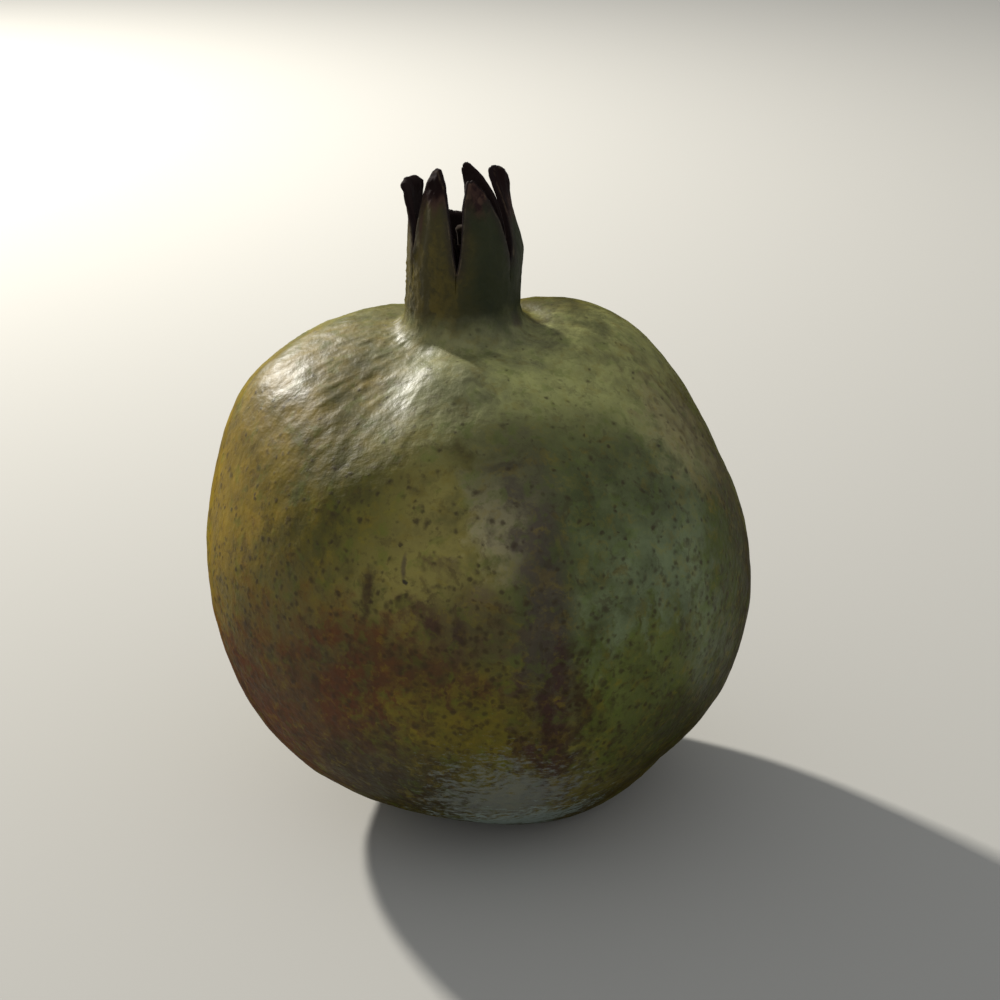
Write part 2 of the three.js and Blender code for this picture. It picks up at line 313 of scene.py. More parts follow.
def crown_rows(shares, from_height, is_lining):
    """Rows of the crown's outside or lining, and how far up its sepal and from the margin each point is."""
    z = from_height + (margin - from_height) * np.array(shares)[:, None]
    up = np.maximum(0, (z - notch) / (own["tip"] - notch))
    to_edge = np.full(z.shape, FAR_FROM_MARGIN)
    for step in range(-NEAR_COLUMNS, NEAR_COLUMNS + 1):
        below = np.maximum(0, np.roll(margin, -step) - z)
        to_edge = np.minimum(to_edge, np.hypot(step * column_width, below))
    callus = own["callus"] * smoothstep(up, 0.6, 0.85)
    wall = WALL + (TIP_WALL - WALL) * np.minimum(1, up) + callus
    fullness = np.sqrt(1 - (1 - np.minimum(1, to_edge / MARGIN_ROUNDING)) ** 2)
    flare = (RIND_OUTLINE[-1][0] - TUBE_RADIUS) * (1 - smoothstep(z, CROWN_FOOT, CROWN_FOOT + 4))
    middle_radius = TUBE_RADIUS - (wall - callus) / 2
    half_wall = fullness * wall / 2
    side_radius = middle_radius - half_wall if is_lining else middle_radius + half_wall + flare
    along = side_radius * np.sin(across * half_angle)
    crease = 0 if is_lining else own["crease"] * hump(up, 0.81 + 0.05 * across, 0.035) + 0.5 * folds(z, up)
    out = (
        side_radius * np.cos(across * half_angle)
        + own["root"] * hump(z, notch, 4) * np.cos(across * math.pi / 2)
        + (own["bow"] + own["flat"] * across**2) * np.sin(math.pi * np.clip(up, 0, 1))
        + own["lean"] * up**1.6
        + own["twist"] * up**3 * along
        + own["curl"] * smoothstep(up, 0.75, 1) * up
        - crease
    )
    sideways = along + own["sway"] * up**1.5
    x = core_at(z) + out * np.cos(middle_angle) - sideways * np.sin(middle_angle)
    y = FOOT_MIDDLE[1] + out * np.sin(middle_angle) + sideways * np.cos(middle_angle)
    return np.stack([x, y, z], -1), up, to_edge


crown_shares = [1 - (1 - i / CROWN_ROWS) ** CROWDED_TO_TIPS for i in range(1, CROWN_ROWS + 1)]
lining_shares = [1 - (i / LINING_ROWS) ** CROWDED_TO_TIPS for i in range(1, LINING_ROWS + 1)]
outside, outside_up, outside_edge = crown_rows(crown_shares, CROWN_FOOT, False)
lining, lining_up, lining_edge = crown_rows(lining_shares, CUP_FLOOR + CUP_ROUNDING, True)
stalk_rows = np.array([around_core(azimuths, r, z) for r, z in STALK_END])
floor_rows = np.array([around_core(azimuths, r, CUP_FLOOR) for r in CUP_FLOOR_RINGS])

skin = np.concatenate([stalk_rows, rind_rows, outside, lining, floor_rows])
rind_part = slice(len(stalk_rows), len(stalk_rows) + len(rind_rows))
crown_part = slice(rind_part.stop, rind_part.stop + len(outside))
lining_part = slice(crown_part.stop, crown_part.stop + len(lining))
sepal_height = np.zeros(skin.shape[:2])
sepal_height[crown_part], sepal_height[lining_part] = outside_up, lining_up

# What the rind's colours follow at each point: how far it is from a margin, whether it is inside the crown,
# how dry and how dark it is, and further down where it is scuffed and crumbly.
margin_distance = np.full(skin.shape[:2], FAR_FROM_MARGIN)
margin_distance[crown_part], margin_distance[lining_part] = outside_edge, lining_edge
inside = np.zeros(skin.shape[:2])
inside[lining_part.start :] = 1
inside[crown_part.stop - 1] = 0.5

# The sepals dry and then darken upwards, over a frayed border, and the front left one is painted dark along
# its fold.
dryness = np.zeros(skin.shape[:2])
darkness = np.zeros(skin.shape[:2])
on_crown = slice(crown_part.start, lining_part.stop)
fray = 0.22 * unevenness(skin[on_crown], 3, 3, (1, 1, 3))
frayed_height = sepal_height[on_crown] + fray
dryness[on_crown] = smoothstep(frayed_height, own["dry_from"] - 0.12, own["dry_from"] + 0.12)
dark_fold = front_left * hump(across, -0.52, 0.09) * hump(frayed_height, 0.45, 0.2)
dryness[on_crown] = np.maximum(dryness[on_crown], 0.9 * dark_fold)
darkness[on_crown] = smoothstep(frayed_height, own["dark_from"] - 0.1, own["dark_from"] + 0.1)

# The fine relief, along the skin's own normals: the uneven leather of the rind, the shrinking wrinkles on its
# upper left and right shoulder, corky crumbs at the foot of the crown, and the crumpled dry sepals.
around = np.roll(skin, -1, axis=1) - np.roll(skin, 1, axis=1)
onward = np.gradient(skin, axis=0)
normals = np.cross(around, onward)
normals /= np.maximum(np.linalg.norm(normals, axis=-1), 1e-9)[..., None]

relief = np.zeros(skin.shape[:2])
rind_points = skin[rind_part]
calm = smoothstep(rind_points[..., 2], 0.5, 8)
relief[rind_part] = 0.16 * unevenness(rind_points, 9, 3) + 0.05 * unevenness(rind_points, 2.6, 2)
shrunk = np.clip(over_rind(SHRUNK), 0, 1)
relief[rind_part] += shrunk * (
    0.14 * creases(rind_points, 3.4, 7, (0.72, 0.25, 0.64))
    + 0.08 * creases(rind_points + 31, 2.2, 4.4, (0.85, 0.2, 0.4))
)
scuffed = np.zeros(skin.shape[:2])
scuffed[rind_part] = over_rind(SCUFFED) * creases(rind_points + 57, 2.1, 3.6, (0.4, 0.3, -0.8))
relief -= 0.3 * scuffed
relief[rind_part] += over_rind(DENTS)
relief[rind_part] *= calm
crown_points = skin[on_crown]
crumple = 0.1 + 0.22 * smoothstep(sepal_height[on_crown], 0.35, 0.9)
crumple = crumple * smoothstep(margin_distance[on_crown], -0.2, 0.6)
relief[on_crown] = crumple * (
    unevenness(crown_points, 3.2, 3, (1, 1, 2.2)) + 0.35 * unevenness(crown_points, 1.1, 2)
)
skin_z = skin[..., 2]
corky = smoothstep(skin_z, 78, 82) * (1 - smoothstep(skin_z, 93, 98)) * (1 - inside)
towards_left = 0.5 - 0.5 * np.cos(azimuths - math.radians(5))
corky = corky * towards_left**5
neck = slice(rind_part.stop - NECK_ROWS, lining_part.start)
crumbs = np.zeros(skin.shape[:2])
crumbs[neck] = corky[neck] * np.clip(unevenness(skin[neck], 0.9, 2) + 0.1, 0, 1)
relief += 0.24 * crumbs
skin = skin + relief[..., None] * normals
skin[: rind_part.stop, :, 2] = np.maximum(0, skin[: rind_part.stop, :, 2])

turned = bmesh.new()
bmesh.ops.create_grid(turned, x_segments=COLUMNS, y_segments=len(skin) - 1, size=0.5)
painted_layers = [
    (turned.verts.layers.float.new(name), values)
    for name, values in (
        ("margin_distance", margin_distance),
        ("inside", inside),
        ("dryness", dryness),
        ("darkness", darkness),
        ("scuffed", scuffed),
        ("crumbs", crumbs),
    )
]
for vert in turned.verts:
    at = round((vert.co.x + 0.5) * COLUMNS) % COLUMNS
    row = round((vert.co.y + 0.5) * (len(skin) - 1))
    vert.co = Vector(skin[row, at])
    for layer, values in painted_layers:
        vert[layer] = values[row, at]
bmesh.ops.remove_doubles(turned, verts=turned.verts, dist=1e-6)
bmesh.ops.scale(turned, vec=(MM, MM, MM), verts=turned.verts)
bmesh.ops.recalc_face_normals(turned, faces=turned.faces)
for face in turned.faces:
    face.smooth = True
fruit_mesh = bpy.data.meshes.new("fruit_skin")
turned.to_mesh(fruit_mesh)
turned.free()
fruit = bpy.data.objects.new("fruit_skin", fruit_mesh)
bpy.context.scene.collection.objects.link(fruit)


def linear(hex_colour):
    """The linear colour of an sRGB hex value."""
    values = [int(hex_colour[i : i + 2], 16) / 255 for i in (1, 3, 5)]
    return (*(v / 12.92 if v <= 0.04045 else ((v + 0.055) / 1.055) ** 2.4 for v in values), 1)


def add_node(tree, kind, links, **settings):
    """Adds a node with its settings, and gives each of its inputs a value or links it to a socket."""
    node = tree.nodes.new(kind)
    for name, value in settings.items():
        setattr(node, name, value)
    for name, value in links.items():
        if isinstance(value, bpy.types.NodeSocket):
            tree.links.new(value, node.inputs[name])
        else:
            node.inputs[name].default_value = value
    return node


# Pomegranate rind: a tough hide with a thin natural wax, so it has a broad soft shine where it is smooth, and
# is dull where cork has grown over it. Corky lenticels freckle it, and the sepals have dried to brown paper.
# Where its colour changes, and where a few patches paint light or shade onto it: azimuth, height, half width
# and half height, how ragged its border is and by which pattern, how soft, how strong, and its colour.
PATCHES = [
    (300, 60, 30, 24, 0.8, "mottled", 0.9, 0.85, "#47502a"),
    (318, 44, 20, 22, 1.0, "mottled", 0.9, 0.85, "#646f50"),
    (258, 61, 12, 16, 2.4, "mottled", 1.3, 0.75, "#857a3e"),
    (240, 84, 36, 17, 1.0, "mottled", 0.9, 0.85, "#7a7b56"),
    # Painted shade on the upper left, in the dip between the two lit bumps.
    (210, 78, 13, 10, 2.0, "mottled", 1.2, 0.75, "#4d4c33"),
    # Painted light: the top right beside the crown is painted paler, as if lit.
    (336, 79, 22, 12, 1.2, "mottled", 1.0, 0.85, "#93945a"),
    (277, 66, 4.6, 8, 2.4, "mottled", 1.2, 0.85, "#877f60"),
    (226, 66, 16, 12, 1.6, "mottled", 1.0, 0.75, "#3e3d04"),
    (282, 71, 7, 8, 1.6, "mottled", 0.9, 0.7, "#6f684c"),
    # Painted shade across the upper front, below the foot of the crown.
    (291, 74, 14, 6, 1.8, "mottled", 1.1, 0.6, "#45481f"),
    (279, 71.3, 3.6, 0.8, 4.0, "mottled", 1.2, 0.6, "#33281f"),
    (192, 52, 20, 33, 1.6, "mottled", 1.3, 0.95, "#6f5a0c"),
    (200, 22, 18, 20, 1.2, "mottled", 0.8, 0.95, "#552a00"),
    # Down the right edge: a yellow-green patch darkened by painted shade, then a dark patch that is painted
    # shade.
    (337, 48, 9, 16, 1.4, "mottled", 0.7, 0.85, "#3b4200"),
    (352, 40, 11, 28, 1.2, "mottled", 0.9, 0.8, "#2a2200"),
    (305, 68, 15, 9, 1.8, "mottled", 1.2, 0.6, "#3b4322"),
    (303, 34, 13, 14, 1.8, "upright", 0.7, 0.8, "#50561a"),
    (250, 36, 17, 14, 2.4, "mottled", 0.8, 0.85, "#42210f"),
    (226, 31, 18, 18, 2.4, "mottled", 1.1, 0.75, "#4c2508"),
    (262, 30, 14, 10, 2.4, "upright", 0.9, 0.7, "#605a14"),
    (282.3, 53, 4, 19, 3.2, "mottled", 1.2, 0.85, "#3d342d"),
    (281, 30, 4.4, 13, 3.0, "upright", 1.4, 0.85, "#341b1c"),
    # The next two darken the rind towards the bottom: partly its own brown and partly painted shade.
    (243, 19, 15, 11, 1.6, "mottled", 1.1, 0.85, "#201a04"),
    (270, 7, 30, 7, 1.2, "mottled", 1.0, 0.7, "#2f2810"),
    (330, 22, 20, 14, 1.6, "mottled", 1.0, 0.8, "#282600"),
    # Painted light: a paler patch on the right shoulder, as if lit.
    (341, 69, 7, 8, 1.8, "mottled", 1.2, 0.75, "#969062"),
    (350, 66, 9, 14, 5.0, "mottled", 0.9, 0.4, "#4e4028"),
    (267, 51, 7, 6, 3.4, "mottled", 0.9, 0.65, "#3f3320"),
    (259, 49.2, 1.2, 2.2, 1.6, "mottled", 0.8, 0.7, "#38221a"),
    (265, 49.4, 1.2, 2, 1.6, "mottled", 0.8, 0.7, "#33221c"),
    (254.5, 58, 0.35, 1.9, 0.6, "upright", 0.9, 0.6, "#36272a"),
    (254.7, 56.5, 0.4, 0.4, 0.6, "mottled", 0.6, 0.85, "#17101a"),
    (246.4, 54, 0.7, 3.2, 2.6, "upright", 1.1, 0.75, "#3a2513"),
    (331, 85.6, 1.5, 1, 2.6, "mottled", 1.1, 0.8, "#46362e"),
    (90, 50, 30, 26, 1.4, "mottled", 0.8, 0.75, "#6b5826"),
    (60, 40, 20, 22, 2.0, "mottled", 0.7, 0.65, "#5c371e"),
    (120, 30, 20, 16, 2.0, "upright", 0.7, 0.6, "#533020"),
    (20, 50, 18, 26, 1.2, "mottled", 0.8, 0.7, "#5a5f2a"),
    (150, 62, 18, 16, 1.2, "mottled", 0.8, 0.7, "#75682b"),
]

rind = bpy.data.materials.new("pomegranate_rind_dried_waxy")
rind.use_nodes = True
tree = rind.node_tree
tree.nodes.clear()
# The patterns: broad patches of some 17 mm, mottling of 5 mm, and a leather grain of 1 mm, which is as fine
# as shows. Streaks are half a millimetre thick where they run sideways, and 2 mm wide and 9 mm long upright.
place = add_node(tree, "ShaderNodeTexCoord", {}).outputs["Object"]
broad = add_node(tree, "ShaderNodeTexNoise", {"Vector": place, "Scale": 60, "Detail": 3}).outputs["Fac"]
mottling = add_node(
    tree, "ShaderNodeTexNoise", {"Vector": place, "Scale": 210, "Detail": 4, "Roughness": 0.62}
).outputs
mottle = mottling["Fac"]
grain = add_node(tree, "ShaderNodeTexNoise", {"Vector": place, "Scale": 900, "Detail": 3}).outputs["Fac"]
drift = add_node(
    tree, "ShaderNodeVectorMath", {0: mottling["Color"], 1: (0.5, 0.5, 0.5)}, operation="SUBTRACT"
).outputs[0]
warped = add_node(
    tree, "ShaderNodeVectorMath", {0: drift, 1: (0.008, 0.008, 0.008), 2: place}, operation="MULTIPLY_ADD"
).outputs[0]
nudged = add_node(
    tree, "ShaderNodeVectorMath", {0: drift, 1: (0.0022, 0.0022, 0.0022), 2: place}, operation="MULTIPLY_ADD"
).outputs[0]
sideways_streaks = add_node(
    tree,
    "ShaderNodeTexNoise",
    {
        "Vector": add_node(
            tree, "ShaderNodeMapping", {"Vector": nudged, "Scale": (0.7, 0.7, 1.9)}
        ).outputs[0],
        "Scale": 900,
        "Detail": 4,
        "Roughness": 0.7,
    },
).outputs["Fac"]
upright_streaks = add_node(
    tree,
    "ShaderNodeTexNoise",
    {
        "Vector": add_node(
            tree, "ShaderNodeMapping", {"Vector": warped, "Scale": (1, 1, 0.22)}
        ).outputs[0],
        "Scale": 480,
        "Detail": 3,
    },
).outputs["Fac"]


def place_on_rind(azimuth, height):
    """A point on the rind in metres, and the turn that lays x sideways, y upwards and z outwards there."""
    a = math.radians(azimuth)
    nearest_row = int(np.argmin(np.abs(rind_rows[:, 0, 2] - height)))
    column_at = int(np.argmin(np.abs((azimuths - a + math.pi) % (2 * math.pi) - math.pi)))
    point = rind_rows[nearest_row, column_at]
    out = Vector(directions[nearest_row, column_at])
    east = Vector((-math.sin(a), math.cos(a), 0))
    turn = Matrix((east, out.cross(east), out)).transposed().to_euler()
    return [c * MM for c in point], turn


border_patterns = {
    "mottled": mottle,
    "upright": upright_streaks,
    "sideways": sideways_streaks,
}
LARGE_PATCH = 4


def patch_mask(azimuth, height, half_width, half_height, ragged, border, soft, strength):
    """How much of a patch shows at each point, from 0 to its strength. The border of a large one wanders."""
    middle, turn = place_on_rind(azimuth, height)
    deep = max(half_width, half_height)
    laid = add_node(
        tree,
        "ShaderNodeMapping",
        {
            "Vector": warped if deep > LARGE_PATCH else nudged,
            "Location": middle,
            "Rotation": turn,
            "Scale": [half_width * MM, half_height * MM, deep * MM],
        },
        vector_type="TEXTURE",
    ).outputs[0]
    away = add_node(tree, "ShaderNodeVectorMath", {0: laid}, operation="LENGTH").outputs["Value"]
    raggedness = add_node(
        tree,
        "ShaderNodeMath",
        {0: border_patterns[border], 1: ragged, 2: 1 - ragged / 2},
        operation="MULTIPLY_ADD",
    ).outputs[0]
    left = add_node(tree, "ShaderNodeMath", {0: raggedness, 1: away}, operation="SUBTRACT").outputs[0]
    return add_node(
        tree,
        "ShaderNodeMapRange",
        {"Value": left, "From Min": -soft / 2, "From Max": soft / 2, "To Max": strength},
        interpolation_type="SMOOTHSTEP",
    ).outputs[0]


def painted(under, mask, over):
    """The colour under a coat, seen through its mask."""
    return add_node(tree, "ShaderNodeMix", {0: mask, 6: under, 7: over}, data_type="RGBA").outputs[2]


colour = painted(linear("#64612a"), broad, linear("#5a4d22"))
for *patch, patch_colour in PATCHES:
    colour = painted(colour, patch_mask(*patch), linear(patch_colour))

# Brown blots and yellow flecks some 2 mm across, more of them low down, green and brown flecks of 3 mm all
# over, and light and dark mottling of the whole rind.
low_down = add_node(
    tree,
    "ShaderNodeMapRange",
    {
        "Value": add_node(tree, "ShaderNodeSeparateXYZ", {0: place}).outputs["Z"],
        "From Min": 0.082,
        "From Max": 0.03,
        "To Min": 0.4,
        "To Max": 1.0,
    },
).outputs[0]
blots = add_node(
    tree, "ShaderNodeTexNoise", {"Vector": warped, "Scale": 430, "Detail": 3, "Roughness": 0.6}
).outputs["Fac"]
for low, high, strength, blot_colour in ((0.52, 0.68, 0.6, "#33230f"), (0.46, 0.3, 0.3, "#7a6e12")):
    blot = add_node(
        tree,
        "ShaderNodeMapRange",
        {"Value": blots, "From Min": low, "From Max": high, "To Max": strength},
        interpolation_type="SMOOTHSTEP",
    ).outputs[0]
    blot = add_node(tree, "ShaderNodeMath", {0: blot, 1: low_down}, operation="MULTIPLY").outputs[0]
    colour = painted(colour, blot, linear(blot_colour))
flecks = add_node(
    tree, "ShaderNodeTexNoise", {"Vector": nudged, "Scale": 330, "Detail": 3, "Roughness": 0.65}
).outputs["Fac"]
for low, high, strength, fleck_colour in ((0.54, 0.66, 0.3, "#4b5a16"), (0.46, 0.34, 0.25, "#6d5c12")):
    fleck = add_node(
        tree,
        "ShaderNodeMapRange",
        {"Value": flecks, "From Min": low, "From Max": high, "To Max": strength},
        interpolation_type="SMOOTHSTEP",
    ).outputs[0]
    colour = painted(colour, fleck, linear(fleck_colour))
shade = add_node(
    tree,
    "ShaderNodeMapRange",
    {"Value": mottle, "From Min": 0.3, "From Max": 0.7, "To Min": 0.68, "To Max": 1.28},
).outputs[0]
colour = add_node(
    tree, "ShaderNodeMix", {0: 1, 6: colour, 7: shade}, data_type="RGBA", blend_type="MULTIPLY"
).outputs[2]

# Freckles: corky lenticels, most of them under a millimetre across, and more of them on the lower half. They
# come in three sizes: how far apart in millimetres, how common, and the radius of the widest in that spacing.
uneven_size = add_node(
    tree, "ShaderNodeMath", {0: grain, 1: 0.5, 2: -0.25}, operation="MULTIPLY_ADD"
).outputs[0]
freckled = 0
for spacing, spread, widest in ((1.15, 1.0, 0.42), (1.9, 0.95, 0.34), (3.6, 0.8, 0.22)):
    cells = add_node(tree, "ShaderNodeTexVoronoi", {"Vector": nudged, "Scale": 1 / (spacing * MM)})
    chance = add_node(tree, "ShaderNodeSeparateColor", {0: cells.outputs["Color"]}).outputs[0]
    showing = add_node(
        tree, "ShaderNodeMath", {0: low_down, 1: spread, 2: chance}, operation="MULTIPLY_ADD"
    ).outputs[0]
    size = add_node(
        tree,
        "ShaderNodeMapRange",
        {"Value": showing, "From Min": 1, "From Max": 1.6, "To Max": widest},
    ).outputs[0]
    within = add_node(
        tree, "ShaderNodeMath", {0: size, 1: cells.outputs["Distance"]}, operation="SUBTRACT"
    ).outputs[0]
    within = add_node(tree, "ShaderNodeMath", {0: within, 1: uneven_size}, operation="ADD").outputs[0]
    dot_darkness = add_node(
        tree, "ShaderNodeMapRange", {"Value": chance, "To Min": 0.3, "To Max": 0.75}
    ).outputs[0]
    dots = add_node(
        tree,
        "ShaderNodeMapRange",
        {"Value": within, "From Min": -0.14, "From Max": 0.3, "To Max": dot_darkness},
        interpolation_type="SMOOTHSTEP",
    ).outputs[0]
    shown = add_node(tree, "ShaderNodeMath", {0: size, 1: 0.001}, operation="GREATER_THAN").outputs[0]
    dots = add_node(tree, "ShaderNodeMath", {0: dots, 1: shown}, operation="MULTIPLY").outputs[0]
    freckled = add_node(tree, "ShaderNodeMath", {0: dots, 1: freckled}, operation="MAXIMUM").outputs[0]
colour = painted(colour, freckled, linear("#2c200c"))

# Pale grey russet near the bottom of the front, with sideways streaks.
russet = patch_mask(269.5, 18, 9.5, 9, 4.6, "sideways", 1.0, 0.6)
colour = painted(colour, russet, linear("#757b76"))
colour = painted(colour, patch_mask(271.5, 10, 10.5, 6, 5.0, "sideways", 0.9, 0.8), linear("#87948d"))

# The cut stub of the stalk is brown wood.
from_stub = add_node(
    tree,
    "ShaderNodeVectorMath",
    {0: nudged, 1: (FOOT_MIDDLE[0] * MM, FOOT_MIDDLE[1] * MM, MM)},
    operation="DISTANCE",
).outputs["Value"]
woody = add_node(
    tree,
    "ShaderNodeMapRange",
    {"Value": from_stub, "From Min": 0.0042, "From Max": 0.003, "To Max": 0.85},
    interpolation_type="SMOOTHSTEP",
).outputs[0]
colour = painted(colour, woody, painted(linear("#3a2a1b"), blots, linear("#6b563a")))

# Brown cork in the wrinkles of the right shoulder.
wrinkled = add_node(tree, "ShaderNodeAttribute", {}, attribute_name="scuffed").outputs["Fac"]
wrinkled = add_node(
    tree, "ShaderNodeMapRange", {"Value": wrinkled, "From Min": 0.05, "From Max": 0.7, "To Max": 0.5}
).outputs[0]
colour = painted(colour, wrinkled, linear("#3d3020"))

# The crown: yellow-brown on its left and dark green on its right, drying to purplish brown and then nearly
# black at the tips, and purplish brown inside, painted darker there as painted shade. Pale crumbs of cork lie
# round its foot, painted paler on its lit left as partly a painted highlight. The margins have dried further
# than the rest, with a thin, broken, pale line along them.
edge = add_node(tree, "ShaderNodeAttribute", {}, attribute_name="margin_distance").outputs["Fac"]
shaded_lining = add_node(tree, "ShaderNodeAttribute", {}, attribute_name="inside").outputs["Fac"]
dry = add_node(tree, "ShaderNodeAttribute", {}, attribute_name="dryness").outputs["Fac"]
dark = add_node(tree, "ShaderNodeAttribute", {}, attribute_name="darkness").outputs["Fac"]
pale_crumbs_and_highlight = add_node(tree, "ShaderNodeAttribute", {}, attribute_name="crumbs").outputs["Fac"]
warped_xyz = add_node(tree, "ShaderNodeSeparateXYZ", {0: warped}).outputs
on_tube = add_node(
    tree,
    "ShaderNodeMapRange",
    {"Value": warped_xyz["Z"], "From Min": 0.081, "From Max": 0.089},
    interpolation_type="SMOOTHSTEP",
).outputs[0]
to_right = add_node(
    tree,
    "ShaderNodeMapRange",
    {"Value": warped_xyz["X"], "From Min": -0.007, "From Max": 0.0015},
    interpolation_type="SMOOTHSTEP",
).outputs[0]
streaked = add_node(
    tree,
    "ShaderNodeMapRange",
    {"Value": upright_streaks, "From Min": 0.38, "From Max": 0.62},
    interpolation_type="SMOOTHSTEP",
).outputs[0]
tube_left = painted(linear("#4d4316"), streaked, linear("#393313"))
tube_right = painted(linear("#202513"), streaked, linear("#2a2d14"))
tube_right = painted(tube_right, mottle, linear("#242914"))
colour = painted(colour, on_tube, painted(tube_left, to_right, tube_right))
# The crumbs' pale colour is partly cork and partly a painted highlight, as it lies only on the lit left.
pale_crumbs_and_highlight = add_node(
    tree, "ShaderNodeMapRange", {"Value": pale_crumbs_and_highlight, "From Min": 0.1, "From Max": 0.7, "To Max": 0.4}
).outputs[0]
colour = painted(colour, pale_crumbs_and_highlight, linear("#756b42"))
drying = add_node(
    tree,
    "ShaderNodeMapRange",
    {"Value": edge, "From Min": 1.7, "From Max": 0.4, "To Max": 0.6},
    interpolation_type="SMOOTHSTEP",
).outputs[0]
colour = painted(colour, drying, linear("#241c19"))
colour = painted(colour, dry, painted(linear("#2a1c1c"), streaked, linear("#46342c")))
colour = painted(colour, dark, painted(linear("#120909"), mottle, linear("#1f1110")))
rim_strength = add_node(
    tree, "ShaderNodeMapRange", {"Value": blots, "From Min": 0.45, "From Max": 0.62, "To Max": 0.45}
).outputs[0]
rim = add_node(
    tree,
    "ShaderNodeMapRange",
    {"Value": edge, "From Min": 0.5, "From Max": 0.34, "To Max": rim_strength},
    interpolation_type="SMOOTHSTEP",
).outputs[0]
colour = painted(colour, rim, linear("#5d4f3e"))
between = add_node(
    tree,
    "ShaderNodeMapRange",
    {"Value": edge, "From Min": 0.3, "From Max": 0.14},
    interpolation_type="SMOOTHSTEP",
).outputs[0]
colour = painted(colour, between, linear("#1c1313"))
# The lining is purplish brown, painted darker as painted shade inside the crown.
colour = painted(colour, shaded_lining, linear("#231918"))

# The wax is thin and uneven, so the rind doesn't mirror the floor at its edges as a polished fruit would, and
# cork and dry tissue are dull.
dullness = add_node(
    tree,
    "ShaderNodeMapRange",
    {"Value": mottle, "From Min": 0.3, "From Max": 0.7, "To Min": 0.43, "To Max": 0.59},
).outputs[0]
facing = add_node(tree, "ShaderNodeLayerWeight", {"Blend": 0.5}).outputs["Facing"]
gloss = add_node(
    tree,
    "ShaderNodeMapRange",
    {"Value": facing, "From Min": 0.45, "From Max": 0.82, "To Min": 0.24, "To Max": 0.01},
).outputs[0]
for mask in (russet, dry, shaded_lining):
    dullness = add_node(
        tree, "ShaderNodeMix", {0: mask, 2: dullness, 3: 0.8}, data_type="FLOAT"
    ).outputs[0]
    gloss = add_node(tree, "ShaderNodeMix", {0: mask, 2: gloss, 3: 0.08}, data_type="FLOAT").outputs[0]
height_map = add_node(
    tree, "ShaderNodeMath", {0: freckled, 1: 0.15, 2: grain}, operation="MULTIPLY_ADD"
).outputs[0]
bump = add_node(
    tree, "ShaderNodeBump", {"Height": height_map, "Strength": 0.7, "Distance": 0.00018}
).outputs[0]
surface = add_node(
    tree,
    "ShaderNodeBsdfPrincipled",
    {
        "Base Color": colour,
        "Roughness": dullness,
        "IOR": 1.45,
        "Specular IOR Level": gloss,
        "Normal": bump,
    },
).outputs[0]
add_node(tree, "ShaderNodeOutputMaterial", {"Surface": surface})
fruit_mesh.materials.append(rind)
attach(fruit, "root")
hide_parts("fruit")

# The withered stamens stand in the crown on a shrunken disc, round the stump of the style. They are dry
# threads, each with a shrivelled anther on its end, and here each is a circle drawn out along its bend. Each
# ring of them has a number of threads, a radius and a height.
DISC_FLOOR = 88.35
DISC_PROFILE = [
    (0, DISC_FLOOR),
    (6, DISC_FLOOR),
    (6.6, 88.95),
    (6.3, 89.5),
    (5.4, 89.75),
    (3.4, 89.6),
    (1.9, 89.4),
    (1.1, 90.2),
    (0.85, 93),
    (0.75, 96.5),
    (0.9, 98.4),
    (1.15, 99.2),
    (0.8, 99.7),
    (0, 99.6),
]
STAMEN_RINGS = [(18, 5.7, 8.6), (15, 4.7, 9.6), (11, 3.6, 9.4), (7, 2.4, 8.8)]
FILAMENT_RADIUS = 0.2
FILAMENT_STEPS = 8
ANTHER_RADIUS = 0.34
THREAD_FOOT = 89.3
CUP_RADIUS = 6.9
dice = random.Random(7)

